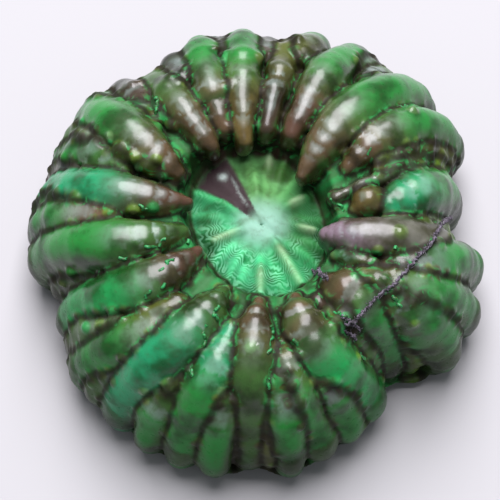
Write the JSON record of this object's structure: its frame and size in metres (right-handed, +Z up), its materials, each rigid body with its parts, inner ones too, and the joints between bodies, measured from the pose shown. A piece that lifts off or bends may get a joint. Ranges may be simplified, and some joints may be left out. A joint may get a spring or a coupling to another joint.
{
  "type": "button coral",
  "caption": "Round fleshy button coral: thick glossy lobes in a ring round a sunken striped oral disc, with a flat cut base.",
  "frame": {"origin": "centre of the bounding box, on the flat cut base", "axes": "+Z up out of the oral disc, -Y towards the side that the picture is taken from"},
  "size_m": [0.0904, 0.0946, 0.0345],
  "materials": {
    "coral_flesh": "wet glossy flesh, green and olive with brown inner ends and a mint green striped disc"
  },
  "bodies": {
    "root": {"polyp": "coral_flesh"}
  },
  "joints": []
}
